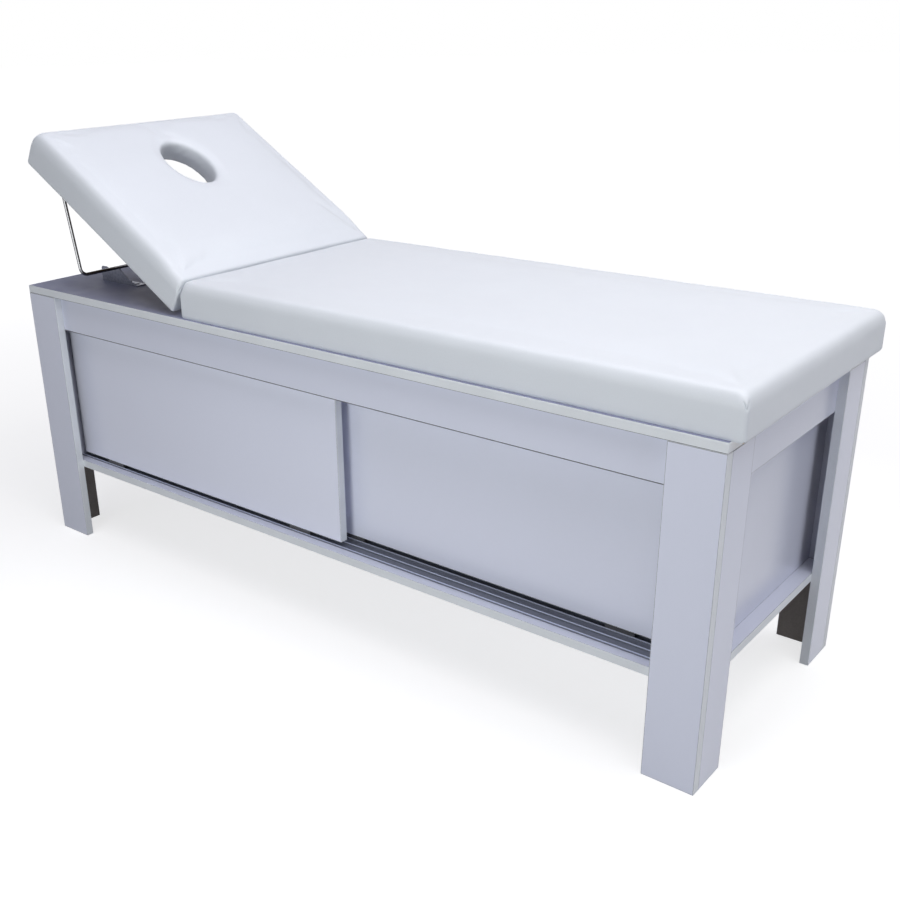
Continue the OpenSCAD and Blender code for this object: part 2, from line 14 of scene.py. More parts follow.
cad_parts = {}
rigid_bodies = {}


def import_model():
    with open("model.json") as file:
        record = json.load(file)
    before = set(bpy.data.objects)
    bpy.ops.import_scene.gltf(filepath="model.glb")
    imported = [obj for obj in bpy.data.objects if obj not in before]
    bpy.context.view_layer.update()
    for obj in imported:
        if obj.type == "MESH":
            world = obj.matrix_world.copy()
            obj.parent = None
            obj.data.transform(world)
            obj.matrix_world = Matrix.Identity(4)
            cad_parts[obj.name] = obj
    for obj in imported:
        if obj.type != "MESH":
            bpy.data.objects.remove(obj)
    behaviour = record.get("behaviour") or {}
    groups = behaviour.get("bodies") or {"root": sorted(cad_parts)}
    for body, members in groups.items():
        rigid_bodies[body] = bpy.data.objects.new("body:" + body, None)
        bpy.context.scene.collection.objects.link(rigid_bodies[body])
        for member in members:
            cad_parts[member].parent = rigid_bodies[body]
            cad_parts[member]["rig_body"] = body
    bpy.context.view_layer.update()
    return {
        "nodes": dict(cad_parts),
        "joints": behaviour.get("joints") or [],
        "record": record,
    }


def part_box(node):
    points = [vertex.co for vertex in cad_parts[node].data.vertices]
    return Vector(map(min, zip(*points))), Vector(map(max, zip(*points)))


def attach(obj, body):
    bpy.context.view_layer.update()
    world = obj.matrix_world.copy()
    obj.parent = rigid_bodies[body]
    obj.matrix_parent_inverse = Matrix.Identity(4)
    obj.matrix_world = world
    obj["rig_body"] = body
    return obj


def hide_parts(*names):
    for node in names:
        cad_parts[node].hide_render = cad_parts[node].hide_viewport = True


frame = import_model()
MM = 0.001


# Camera: at the photograph's viewpoint, fitted to the cabinet's corners
def add_camera():
    data = bpy.data.cameras.new("camera")
    data.lens = 44.770
    data.shift_x, data.shift_y = 0.05122, 0.04141
    camera = bpy.data.objects.new("camera", data)
    bpy.context.scene.collection.objects.link(camera)
    camera.location = (1.50569, -1.81353, 1.24708)
    camera.rotation_euler = [math.radians(a) for a in (66.8115, 1.0071, 39.2556)]
    bpy.context.scene.camera = camera


# Light and floor
def node(tree, kind, inputs=(), **settings):
    """Adds a shader node; an input is given as a value or as the socket that feeds it."""
    n = tree.nodes.new(kind)
    for key, value in settings.items():
        setattr(n, key, value)
    for key, value in dict(inputs).items():
        if isinstance(value, bpy.types.NodeSocket):
            tree.links.new(value, n.inputs[key])
        else:
            n.inputs[key].default_value = value
    return n


def seen_directly(tree):
    """1 for camera, mirror and see-through rays, 0 for the rays that light things."""
    path = node(tree, "ShaderNodeLightPath").outputs
    fac = path["Is Camera Ray"]
    for other in ("Is Glossy Ray", "Is Transmission Ray"):
        either = node(tree, "ShaderNodeMath", {0: fac, 1: path[other]}, operation="MAXIMUM")
        fac = either.outputs[0]
    return fac


def add_world(ambient, strength):
    world = bpy.data.worlds.new("studio")
    bpy.context.scene.world = world
    world.use_nodes = True
    tree = world.node_tree
    tree.nodes.clear()
    soft = node(tree, "ShaderNodeBackground", {"Color": (*ambient, 1), "Strength": strength})
    white = node(tree, "ShaderNodeBackground", {"Color": (1, 1, 1, 1), "Strength": 1.0})
    mix = node(tree, "ShaderNodeMixShader", {0: seen_directly(tree), 1: soft.outputs[0],
                                             2: white.outputs[0]})
    node(tree, "ShaderNodeOutputWorld", {"Surface": mix.outputs[0]})


def add_lamp(name, place, aim, size, watts, colour):
    data = bpy.data.lights.new(name, "AREA")
    data.shape = "RECTANGLE"
    data.size, data.size_y = size
    data.energy = watts
    data.color = colour
    lamp = bpy.data.objects.new(name, data)
    bpy.context.scene.collection.objects.link(lamp)
    lamp.location = place
    lamp.rotation_euler = (Vector(aim) - Vector(place)).to_track_quat("-Z", "Y").to_euler()


# The floor's own glow: its strength up to GLOW_NEAR from the middle and from GLOW_FAR on
FLOOR_R = 30
GLOW_NEAR, GLOW_FAR = 1.6, 4.0
NEAR_STRENGTH, FAR_STRENGTH = 0.70, 1.0


def add_floor():
    """A pale disc that shows white with the object's soft shadow, and whiter towards its rim."""
    bm = bmesh.new()
    bmesh.ops.create_circle(bm, cap_ends=True, segments=96, radius=FLOOR_R)
    mesh = bpy.data.meshes.new("floor")
    bm.to_mesh(mesh)
    bm.free()
    floor = bpy.data.objects.new("floor", mesh)
    bpy.context.scene.collection.objects.link(floor)
    material = bpy.data.materials.new("floor")
    material.use_nodes = True
    tree = material.node_tree
    tree.nodes.clear()
    place = node(tree, "ShaderNodeTexCoord").outputs["Object"]
    reach = node(tree, "ShaderNodeVectorMath", {0: place}, operation="LENGTH").outputs["Value"]
    glow = node(tree, "ShaderNodeMapRange", {
        "Value": reach, "From Min": GLOW_NEAR, "From Max": GLOW_FAR,
        "To Min": NEAR_STRENGTH, "To Max": FAR_STRENGTH,
    }).outputs["Result"]
    lit = node(tree, "ShaderNodeBsdfDiffuse", {"Color": (0.5, 0.5, 0.5, 1)})
    own = node(tree, "ShaderNodeEmission", {"Color": (1, 1, 1, 1), "Strength": glow})
    shown = node(tree, "ShaderNodeAddShader", {0: lit.outputs[0], 1: own.outputs[0]})
    plain = node(tree, "ShaderNodeBsdfDiffuse", {"Color": (0.5, 0.5, 0.51, 1)})
    mix = node(tree, "ShaderNodeMixShader", {0: seen_directly(tree), 1: plain.outputs[0],
                                             2: shown.outputs[0]})
    node(tree, "ShaderNodeOutputMaterial", {"Surface": mix.outputs[0]})
    mesh.materials.append(material)


# Materials
# The range that most of a texture's values lie in
MIDDLE = (0.3, 0.7)
# Cycles a metre of every surface's uneven gloss
GLOSS_CYCLES = 35.0
# The share of the track's height that is darkest, and the depth below its top from which it is
# lightest
DARK_SHARE, LIGHT_DEPTH = 0.6, 0.3 * MM


def spread(tree, source, low, high, start=MIDDLE[0], end=MIDDLE[1]):
    """Maps a texture's middle range to low..high."""
    return node(tree, "ShaderNodeMapRange", {
        "Value": source, "From Min": start, "From Max": end, "To Min": low, "To Max": high,
    }).outputs["Result"]


def grain(kind, scale, stretch=(1, 1, 1), **more):
    """Makes a noise, cell or ring texture in a material's tree; scale is in cycles a metre."""
    def make(tree):
        place = node(tree, "ShaderNodeTexCoord").outputs["Object"]
        at = node(tree, "ShaderNodeMapping", {"Vector": place, "Scale": stretch}).outputs["Vector"]
        if kind == "cells":
            n = node(tree, "ShaderNodeTexVoronoi", {"Vector": at, "Scale": scale}, **more)
            return n.outputs["Distance"]
        if kind == "rings":
            n = node(tree, "ShaderNodeTexWave", {
                "Vector": at, "Scale": scale, "Distortion": 6.0, "Detail": 3.0,
                "Detail Scale": 1.5}, wave_type="RINGS", rings_direction="X", **more)
            return n.outputs["Fac"]
        n = node(tree, "ShaderNodeTexNoise", {"Vector": at, "Scale": scale, "Detail": 4.0}, **more)
        return n.outputs["Fac"]
    return make


def ridge_tops(name):
    """Light on the uppermost parts of the named node, dark in its lower part."""
    low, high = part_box(name)

    def make(tree):
        place = node(tree, "ShaderNodeTexCoord").outputs["Object"]
        z = node(tree, "ShaderNodeSeparateXYZ", {0: place}).outputs["Z"]
        return spread(tree, z, *MIDDLE, low.z + DARK_SHARE * (high.z - low.z),
                      high.z - LIGHT_DEPTH)
    return make


def surface(name, colour, roughness, tones, bumps, rough_spread=0.05, **constants):
    """A material with its tones and bumps; constants are further inputs of the shader.

    tones: (texture, strength) pairs that lighten and darken the colour.
    bumps: (texture, height in metres, strength) triples, laid one over another.
    """
    material = bpy.data.materials.new(name)
    material.use_nodes = True
    tree = material.node_tree
    tree.nodes.clear()
    shader = node(tree, "ShaderNodeBsdfPrincipled")
    for key, value in constants.items():
        shader.inputs[key.replace("_", " ")].default_value = value
    tint = None
    for make, strength in tones:
        fac = spread(tree, make(tree), 1 - strength, 1 + strength)
        tint = fac if tint is None else node(
            tree, "ShaderNodeMath", {0: tint, 1: fac}, operation="MULTIPLY").outputs[0]
    scaled = node(tree, "ShaderNodeVectorMath", {0: colour, "Scale": tint}, operation="SCALE")
    tree.links.new(scaled.outputs["Vector"], shader.inputs["Base Color"])
    rough = spread(tree, grain("noise", GLOSS_CYCLES)(tree), roughness - rough_spread,
                   roughness + rough_spread)
    tree.links.new(rough, shader.inputs["Roughness"])
    normal = None
    for make, height, strength in bumps:
        inputs = {"Height": make(tree), "Distance": height, "Strength": strength}
        if normal is not None:
            inputs["Normal"] = normal
        normal = node(tree, "ShaderNodeBump", inputs).outputs["Normal"]
    tree.links.new(normal, shader.inputs["Normal"])
    node(tree, "ShaderNodeOutputMaterial", {"Surface": shader.outputs[0]})
    return material


def board_face(name, colour):
    """Glossy melamine: faint cloudiness, orange peel, and a long waviness in its reflections."""
    return surface(
        name, colour, 0.24,
        [(grain("noise", 1.5, (1, 1, 0.4)), 0.008), (grain("noise", 160.0), 0.003)],
        [(grain("noise", 2.5, (1, 1, 0.15)), 0.8 * MM, 0.05),
         (grain("noise", 160.0), 0.02 * MM, 0.03)], rough_spread=0.008, Specular_IOR_Level=0.5)


def make_materials():
    return {
        # The doors' boards are a little lighter than the cabinet's: painted light, making up for
        # the shade that the apron casts on them
        "melamine": board_face("melamine", (0.76, 0.785, 0.91)),
        "door_melamine_painted_light": board_face("door_melamine_painted_light", (0.83, 0.855, 0.985)),
        # The tabletop, dull from use; its dark colour is painted shade of the raised headrest over
        # it
        "dull_melamine_painted_shade": surface(
            "dull_melamine_painted_shade", (0.305, 0.325, 0.46), 0.5,
            [(grain("noise", 3.0), 0.03), (grain("noise", 120.0), 0.01)],
            [(grain("noise", 60.0), 0.15 * MM, 0.10)], rough_spread=0.08,
            Specular_IOR_Level=0.1),
        "edge_band": surface(
            "edge_band", (0.80, 0.83, 0.86), 0.38,
            [(grain("noise", 14.0), 0.03), (grain("noise", 600.0), 0.02)],
            [(grain("noise", 500.0), 0.2 * MM, 0.2)]),
        # Near black: partly a glue line, partly painted shade along the boards' edges and painted
        # shadow lines at their joints
        "glue_and_painted_shadow": surface(
            "glue_and_painted_shadow", (0.10, 0.10, 0.12), 0.6,
            [(grain("noise", 90.0), 0.2)], [(grain("noise", 900.0), 0.1 * MM, 0.3)]),
        # The inner faces of the legs' boards: near black and brownish, painted shade of the dark
        # recesses beside them
        "inner_painted_shade": surface(
            "inner_painted_shade", (0.150, 0.132, 0.120), 0.6,
            [(grain("noise", 14.0, (1, 1, 0.2)), 0.12), (grain("noise", 240.0), 0.10)],
            [(grain("noise", 500.0), 0.3 * MM, 0.3)]),
        # Soft synthetic leather: pebbled grain over fine pores and slack places
        "leather": surface(
            "leather", (0.775, 0.81, 0.855), 0.46,
            [(grain("noise", 5.0), 0.012), (grain("noise", 700.0), 0.015)],
            [(grain("noise", 6.0), 4 * MM, 0.10), (grain("noise", 26.0), 1.2 * MM, 0.10),
             (grain("cells", 620.0, feature="SMOOTH_F1"), 0.3 * MM, 0.30)],
            rough_spread=0.04, Sheen_Weight=0.16, Sheen_Roughness=0.5),
        "frame_wood": surface(
            "frame_wood", (0.62, 0.44, 0.26), 0.62,
            [(grain("rings", 18.0, (0.12, 1, 1)), 0.16),
             (grain("noise", 160.0, (0.06, 1, 1)), 0.10)],
            [(grain("noise", 420.0, (0.05, 1, 1)), 0.6 * MM, 0.35)]),
        "foam": surface(
            "foam", (0.85, 0.80, 0.62), 0.95,
            [(grain("noise", 40.0), 0.05)], [(grain("cells", 700.0), 1.2 * MM, 0.7)]),
        # Darker between its ridges, lighter on their tops
        "track": surface(
            "track", (0.41, 0.44, 0.54), 0.34,
            [(ridge_tops("bottom_track"), 0.6), (grain("noise", 24.0, (0.2, 1, 1)), 0.06)],
            [(grain("noise", 1400.0, (0.02, 1, 1)), 0.12 * MM, 0.35)], Metallic=0.4),
        "plastic": surface(
            "plastic", (0.055, 0.055, 0.06), 0.42,
            [(grain("noise", 60.0), 0.03)], [(grain("noise", 800.0), 0.15 * MM, 0.3)]),
        # Steel darkened well below its own colour: painted shade of the racks under the raised
        # headrest
        "steel": surface(
            "steel", (0.20, 0.21, 0.26), 0.40,
            [(grain("cells", 160.0), 0.10), (grain("noise", 30.0), 0.08)],
            [(grain("noise", 900.0, (0.1, 1, 1)), 0.15 * MM, 0.4)], Metallic=1.0),
        "chrome": surface(
            "chrome", (0.22, 0.22, 0.23), 0.20,
            [(grain("noise", 50.0), 0.03)], [(grain("noise", 700.0), 0.04 * MM, 0.3)],
            rough_spread=0.03, Metallic=1.0),
    }


def dress_nodes(materials):
    """Gives every CAD node that stays the material of its slot."""
    slots = {p["node"]: p["material_slot"] for p in frame["record"]["subparts"]}
    for name, obj in frame["nodes"].items():
        obj.data.materials.clear()
        obj.data.materials.append(materials[slots[name]])


def add_object(name, mesh, *materials):
    obj = bpy.data.objects.new(name, mesh)
    bpy.context.scene.collection.objects.link(obj)
    for material in materials:
        mesh.materials.append(material)
    return obj


# Boards: eased edges, edge band, and a fine dark line where the band meets the faces, partly glue
# and partly painted shade at the edges
BOARDS = ("tabletop", "front_apron", "back_panel", "bottom_shelf", "centre_partition",
          "head_end_rail", "foot_end_rail", "head_end_panel", "foot_end_panel", "left_door",
          "right_door")
# Face colours with painted light in them: painted shade on the tabletop, painted light on the
# doors
BOARD_FACES = {"tabletop": "dull_melamine_painted_shade", "left_door": "door_melamine_painted_light",
               "right_door": "door_melamine_painted_light"}
EASE = 0.6 * MM
# Boards with wider eased edges, as multiples of EASE; their sloping eased faces are painted dark,
# as painted shadow lines below the tabletop's edge and along the apron's edges
WIDE_EASE = {"tabletop": 2, "front_apron": 4}
SEAM = 0.7 * MM
# A board's material slots
FACE, BAND, GLUE_AND_PAINTED_SHADOW, INNER_PAINTED_SHADE = range(4)
# A normal's share along an axis that it follows, and the least share of a sloping one
ALONG, SLOPING = 0.999, 0.1


def add_board(name, materials):
    """Replaces a CAD board by one with banded edges; the legs' inner faces are painted dark, as
    painted shade.
    """
    low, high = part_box(name)
    size = high - low
    thin = min(range(3), key=lambda k: size[k])
    bm = bmesh.new()
    bmesh.ops.create_cube(bm, size=1, matrix=Matrix.Translation((low + high) / 2)
                          @ Matrix.Diagonal((*size, 1)))
    ease = WIDE_EASE.get(name, 1) * EASE
    bmesh.ops.bevel(bm, geom=bm.edges[:], offset=ease, segments=2, profile=0.5, affect="EDGES")
    bm.normal_update()
    for face in bm.faces:
        flat = abs(face.normal[thin]) > ALONG
        slope = -face.normal.z if name == "tabletop" else abs(face.normal.z)
        # The wider boards' sloping eased faces: painted shadow lines
        painted_shadow_line = name in WIDE_EASE and SLOPING < slope < ALONG
        face.material_index = FACE if flat else GLUE_AND_PAINTED_SHADOW if painted_shadow_line else BAND
    inner = -math.copysign(1, (low + high)[thin]) if "_leg_" in name else 0
    for face in [f for f in bm.faces if f.material_index == FACE]:
        for seam in bmesh.ops.inset_individual(bm, faces=[face], thickness=SEAM)["faces"]:
            seam.material_index = GLUE_AND_PAINTED_SHADOW
        # The legs' inner faces: painted shade
        if face.normal[thin] * inner > 0:
            face.material_index = INNER_PAINTED_SHADE
    mesh = bpy.data.meshes.new(name + "_board")
    bm.to_mesh(mesh)
    bm.free()
    slots = (BOARD_FACES.get(name, "melamine"), "edge_band", "glue_and_painted_shadow", "inner_painted_shade")
    board = add_object(mesh.name, mesh, *[materials[slot] for slot in slots])
    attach(board, frame["nodes"][name]["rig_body"])
    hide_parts(name)


# Padded sections
TILT_JOINT = next(j for j in frame["joints"] if j["name"] == "head_tilt")
HINGE = Vector(TILT_JOINT["pos_m"])
TILT = math.radians(-TILT_JOINT["range_deg"][0])
RAISE = (Matrix.Translation(HINGE) @ Matrix.Rotation(TILT, 4, "Y") @ Matrix.Translation(-HINGE))
BED_LOW, BED_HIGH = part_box("bed_cover")
TOP_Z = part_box("tabletop")[1].z
HEAD_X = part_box("tabletop")[0].x
PAD_Y = (BED_LOW.y + BED_HIGH.y) / 2
PAD_HALF = (BED_HIGH.y - BED_LOW.y) / 2
PAD_TOP = TOP_Z + 79 * MM
HINGE_GAP = BED_LOW.x - HINGE.x
# As in the CAD: the cover's thickness, the plywood's faces and the headrest's underside
COVER_T = 3 * MM
PLY_UNDER = TOP_Z + 40 * MM
PLY_TOP = PLY_UNDER + 9 * MM
REST_UNDER = TOP_Z + 1 * MM
# Room between the leather and the parts in it, and how far cutters reach past what they cut
ROOM = 1 * MM
CUT_PAST = 15 * MM
WASTE_PAST = 20 * MM
# The face hole's middle and half sizes, and the rounding of its rim
HOLE_X = HEAD_X + 184 * MM
HOLE_A, HOLE_B = 79 * MM, 57 * MM
RIM_R = 12 * MM
# How much a pad's middle stands over its edges, and how late it falls along and across
CROWN = 6 * MM
CROWN_POWERS = (5, 3)
# The upper edge's rounding: down the sides, inwards, and at the hinge end
EDGE_DOWN, EDGE_IN = 28 * MM, 18 * MM
HINGE_R = 3 * MM
# The corners' rounding seen from above, and how it grows with a ring's inset
CORNER_R = 7 * MM
CORNER_GROWTH = 0.4
HINGE_CORNER_R = 4 * MM
# How far the long sides are drawn in at their middle
DRAW_IN = 1.0 * MM
# The forms' lowest rings: insets and depths below the underside, in mm; later cut flat at it
UNDER_RINGS = ((5, 9), (3, 4), (1.2, 0), (0.3, -2.5))
# Where the sides begin over the underside, and the counts of rings from there to the hole
SIDE_FROM = 5 * MM
SIDE_RINGS, EDGE_RINGS, RIM_RINGS = 7, 12, 8
HOLE_SIDE_RINGS = 4
# Insets of the rings over the bed's top, in mm, and the steps from the headrest's edge to its hole
BED_TOP_RINGS = (45, 70, 100, 135, 175, 220, 265, 300)
REST_TOP_STEPS = 16
# What the cloth gains when it fills: the form starts that much smaller
SWELL = 1 * MM
# The furthest that the cloth may move, and the frames it takes
GIVE = 4 * MM
CLOTH_FRAMES = 20
# Heights over which the hold on the cloth ends, and over which the crisp form gives way to it
HOLD_ENDS = (TOP_Z + 42 * MM, TOP_Z + 56 * MM)
CRISP_ENDS = (TOP_Z + 46 * MM, TOP_Z + 62 * MM)
BED_VOXEL, REST_VOXEL = 8 * MM, 6 * MM
# Unevenness: its height and size, and the heights over which it sets in
SLACK, SLACK_SIZE = 0.7 * MM, 70 * MM
SLACK_FROM, SLACK_RISE = 40 * MM, 20 * MM
# How much fuller the headrest is than the bed, and how far from the hinges it is so in full
REST_LIFT = 8 * MM
LIFT_REACH = 110 * MM
# How much smaller the foam is drawn, to stay clear of the leather's creases
FOAM_SHARE = 0.99
# The small creases at the corners: where they start, how long they are, how far apart they run
# for each millimetre up, their width and depth, and the power that blunts their ends
PLEAT_Z = TOP_Z + 52 * MM
PLEAT_LEN = 17 * MM
PLEAT_SPREAD = 0.38
PLEAT_W = 1.5 * MM
PLEAT_DEEP = 2.2 * MM
PLEAT_BLUNT = 0.6
# The fold between them: its height and its half width where it starts
FOLD, FOLD_W = 0.5 * MM, 0.1 * MM
PLEAT_REACH = 1.3 * PLEAT_LEN
# Points on a quarter of a ring, and those of them in the corner
AROUND = 64
CORNER_N = AROUND // 8
# A hinge's pocket: half its width, its reach to the sides of the axis, below the tabletop's
# upper face and above the axis
POCKET_HALF, POCKET_SIDE = 33 * MM, 7 * MM
POCKET_DOWN, POCKET_UP = 5 * MM, 5.5 * MM
# Corners that are all but sharp
SHARP = 0.01 * MM
# The leather turned in below: width, thickness, inset from the rails' sides, and corners
HEM_W = 14 * MM
HEM_T = 0.7 * MM
HEM_IN = 0.5 * MM
HEM_R = 1 * MM
# Staples: gap, count each way from the middle, setback from the hem's inner edge, size, easing
STAPLE_GAP = 38 * MM
STAPLES = 6
STAPLE_BACK = 5 * MM
STAPLE = (10 * MM, 1.3 * MM, 0.2 * MM)
STAPLE_EASE = 0.08 * MM


def plan(x0, x1, half_y, radii, bow):
    """A rounded rectangle of four times AROUND points, its sides drawn in by bow.

    radii: those of the corners at x0 and at x1.
    """
    points = []
    for k in range(4):
        a0 = math.pi / 2 * k
        a1 = a0 + math.pi / 2
        ends = []
        for j in (k, (k + 1) % 4):
            r = radii[j in (0, 3)]
            ends.append((Vector((x1 - r if j in (0, 3) else x0 + r,
                                 half_y - r if j in (0, 1) else r - half_y)), r))
        (c0, r0), (c1, r1) = ends
        for i in range(CORNER_N):
            a = a0 + math.pi / 2 * i / CORNER_N
            points.append(c0 + r0 * Vector((math.cos(a), math.sin(a))))
        out = Vector((math.cos(a1), math.sin(a1)))
        for i in range(AROUND - CORNER_N):
            t = i / (AROUND - CORNER_N)
            points.append((c0 + r0 * out).lerp(c1 + r1 * out, t)
                          - out * bow * math.sin(math.pi * t))
    return points


class Pad:
    """A padded section lying flat from x0 to x1; hinge_end is 0 or 1 for the end at x0 or x1."""

    def __init__(self, x0, x1, under, hinge_end):
        self.x0, self.x1, self.under, self.hinge_end = x0, x1, under, hinge_end
        self.top = PAD_TOP - SWELL

    def hinge_inset(self, z):
        """The hinge end leans back half the tilt above the axis, so that the ends meet raised."""
        over = min(HINGE_R, max(0.0, z - self.top + HINGE_R))
        return (max(0.0, z - HINGE.z) * math.tan(TILT / 2)
                + HINGE_R - math.sqrt(HINGE_R ** 2 - over ** 2))

    def level(self, inset, z, bow=DRAW_IN, top=False):
        """A ring at a height; at the top the hinge end is inset like the other sides."""
        ends = [inset, inset]
        radii = [min(CORNER_R + CORNER_GROWTH * inset, (PAD_HALF - inset) / 2)] * 2
        if not top:
            ends[self.hinge_end] = self.hinge_inset(z) + SWELL / 4
            radii[self.hinge_end] = HINGE_CORNER_R
        return [Vector((p.x, p.y + PAD_Y, z)) for p in plan(
            self.x0 + ends[0], self.x1 - ends[1], PAD_HALF - inset, radii, bow)]

    def crown(self, p):
        """How much the top stands higher there than at its edges."""
        u = (2 * p.x - self.x0 - self.x1) / (self.x1 - self.x0)
        v = (p.y - PAD_Y) / PAD_HALF
        along, across = CROWN_POWERS
        return CROWN * max(0.0, 1 - abs(u) ** along) * max(0.0, 1 - abs(v) ** across)

    def sides(self):
        """Rings up the sides and round the upper edge."""
        first, last = self.under + SIDE_FROM, self.top - EDGE_DOWN
        levels = [self.level(t * MM, self.under - z * MM) for t, z in UNDER_RINGS]
        for i in range(SIDE_RINGS):
            levels.append(self.level(0, first + (last - first) * i / SIDE_RINGS))
        for i in range(EDGE_RINGS + 1):
            a = math.pi / 2 * i / EDGE_RINGS
            levels.append(self.level(EDGE_IN * (1 - math.cos(a)),
                                     self.top - EDGE_DOWN * (1 - math.sin(a))))
        return levels

    def crowned(self, levels):
        for level in levels:
            for p in level:
                p.z += self.crown(p)
        return levels


def oval(grow, z):
    """A ring round the face hole, its points matching those of a pad's other rings."""
    points = []
    for p in plan(HEAD_X, HINGE.x, PAD_HALF, (CORNER_R, CORNER_R), 0):
        t = math.atan2(p.y / PAD_HALF, (p.x - HOLE_X) / (HINGE.x - HEAD_X) * 2)
        points.append(Vector((HOLE_X + (HOLE_A + grow) * math.cos(t),
                              PAD_Y + (HOLE_B + grow) * math.sin(t), z)))
    return points


def cap(bm, row):
    """Closes a ring with quads from its one long side to the other."""
    n = len(row)
    turn = 3 * AROUND + CORNER_N
    for i in range((turn - n) // 2, turn // 2):
        corners = [row[j % n] for j in (i, i + 1, turn - i - 1, turn - i)]
        bm.faces.new(dict.fromkeys(corners))


def ring_mesh(name, levels, wrap):
    """Joins rings of equal length; wrap closes the last to the first, and caps close them else."""
    bm = bmesh.new()
    rows = [[bm.verts.new(p) for p in level] for level in levels]
    n = len(rows[0])
    pairs = list(zip(rows, rows[1:])) + ([(rows[-1], rows[0])] if wrap else [])
    for lower, upper in pairs:
        for i in range(n):
            j = (i + 1) % n
            bm.faces.new((lower[i], lower[j], upper[j], upper[i]))
    if not wrap:
        cap(bm, rows[0])
        cap(bm, rows[-1])
    bmesh.ops.recalc_face_normals(bm, faces=bm.faces[:])
    mesh = bpy.data.meshes.new(name)
    bm.to_mesh(mesh)
    bm.free()
    return mesh


def bake(obj):
    """Applies the modifiers of an object."""
    bpy.context.view_layer.update()
    seen = obj.evaluated_get(bpy.context.evaluated_depsgraph_get())
    mesh = bpy.data.meshes.new_from_object(seen)
    obj.modifiers.clear()
    old, obj.data = obj.data, mesh
    mesh.name = old.name
    bpy.data.meshes.remove(old)


def points_of(mesh):
    co = np.empty(len(mesh.vertices) * 3)
    mesh.vertices.foreach_get("co", co)
    return co.reshape(-1, 3)


def remesh(obj, voxel, guide):
    """An even mesh of voxel size on the surface of the guide."""
    obj.modifiers.new("remesh", "REMESH").voxel_size = voxel
    obj.modifiers.new("wrap", "SHRINKWRAP").target = guide
    bake(obj)


def add_weights(obj, name, weights):
    group = obj.vertex_groups.new(name=name)
    for i, weight in enumerate(weights):
        group.add([i], float(weight), "REPLACE")
    return group.name


def fill(obj, hold):
    """Blows the cloth up under pressure; hold is each point's, from 0, free, to 1, held."""
    start = points_of(obj.data)
    normals = np.array([v.normal for v in obj.data.vertices])
    cloth = obj.modifiers.new("cloth", "CLOTH")
    settings = cloth.settings
    settings.quality = 5
    settings.mass = 0.3
    settings.tension_stiffness = settings.compression_stiffness = 12
    settings.shear_stiffness = 4
    settings.bending_stiffness = 2
    settings.use_pressure = True
    settings.uniform_pressure_force = 4
    settings.vertex_group_mass = add_weights(obj, "held", hold)
    settings.effector_weights.gravity = 0
    scene = bpy.context.scene
    for number in range(1, CLOTH_FRAMES + 1):
        scene.frame_set(number)
    bake(obj)
    scene.frame_set(1)
    end = points_of(obj.data)
    way = end - start
    length = np.linalg.norm(way, axis=1, keepdims=True)
    way *= GIVE * np.tanh(length / GIVE) / np.maximum(length, 1e-9) * (1 - hold[:, None])
    inward = np.minimum(0, (way * normals).sum(1, keepdims=True))
    way -= inward * normals
    obj.data.vertices.foreach_set("co", (start + way).ravel())
    obj.vertex_groups.clear()


def slacken(obj):
    """Small uneven places of a hand-stretched cover, on the upper half only."""
    mesh = obj.data
    normals = [v.normal.copy() for v in mesh.vertices]
    for v, n in zip(mesh.vertices, normals):
        share = min(1.0, max(0.0, (v.co.z - TOP_Z - SLACK_FROM) / SLACK_RISE))
        v.co += n * (SLACK * share * noise.noise(v.co / SLACK_SIZE))


def block_mesh(name, low, high):
    low, high = Vector(low), Vector(high)
    bm = bmesh.new()
    bmesh.ops.create_cube(bm, size=1, matrix=Matrix.Translation((low + high) / 2)
                          @ Matrix.Diagonal((*(high - low), 1)))
    mesh = bpy.data.meshes.new(name)
    bm.to_mesh(mesh)
    bm.free()
    return mesh


def refine(obj, corners):
    """Divides the mesh finely round the corners' tops, where the pleats go."""
    bm = bmesh.new()
    bm.from_mesh(obj.data)
    edges = [e for e in bm.edges if all(
        any((v.co - c).length < PLEAT_REACH for c in corners) for v in e.verts)]
    bmesh.ops.subdivide_edges(bm, edges=edges, cuts=3, use_grid_fill=True)
    bm.to_mesh(obj.data)
    bm.free()


def pleat(obj, corners):
    """Two creases that part from the top of each corner's edge, with a small fold between them."""
    mesh = obj.data
    normals = [v.normal.copy() for v in mesh.vertices]
    for v, n in zip(mesh.vertices, normals):
        for c in corners:
            if (v.co - c).length > PLEAT_REACH:
                continue
            dx, dy = abs(v.co.x - c.x), abs(v.co.y - c.y)
            side, up = abs(dx - dy), v.co.z - c.z + min(dx, dy)
            if 0 < up < PLEAT_LEN:
                fade = math.sin(math.pi * min(1.0, up / PLEAT_LEN)) ** PLEAT_BLUNT
                off = (side - PLEAT_SPREAD * up) / PLEAT_W
                fold = max(0.0, 1 - side / (PLEAT_SPREAD * up + FOLD_W))
                v.co += n * fade * (FOLD * fold - PLEAT_DEEP * math.exp(-off * off))


def box_rings(x0, x1, half_y, z0, z1):
    """The lower and the upper ring of a box."""
    return [[Vector((p.x, p.y + PAD_Y, z)) for p in plan(x0, x1, half_y, (SHARP, SHARP), 0)]
            for z in (z0, z1)]


def cut(obj, *meshes):
    """Takes the closed meshes out of the object."""
    cutters = []
    for mesh in meshes:
        cutter = bpy.data.objects.new("cutter", mesh)
        bpy.context.scene.collection.objects.link(cutter)
        modifier = obj.modifiers.new("cut", "BOOLEAN")
        modifier.operation = "DIFFERENCE"
        modifier.solver = "MANIFOLD"
        modifier.object = cutter
        cutters.append(cutter)
    bake(obj)
    for cutter in cutters:
        bpy.data.objects.remove(cutter)


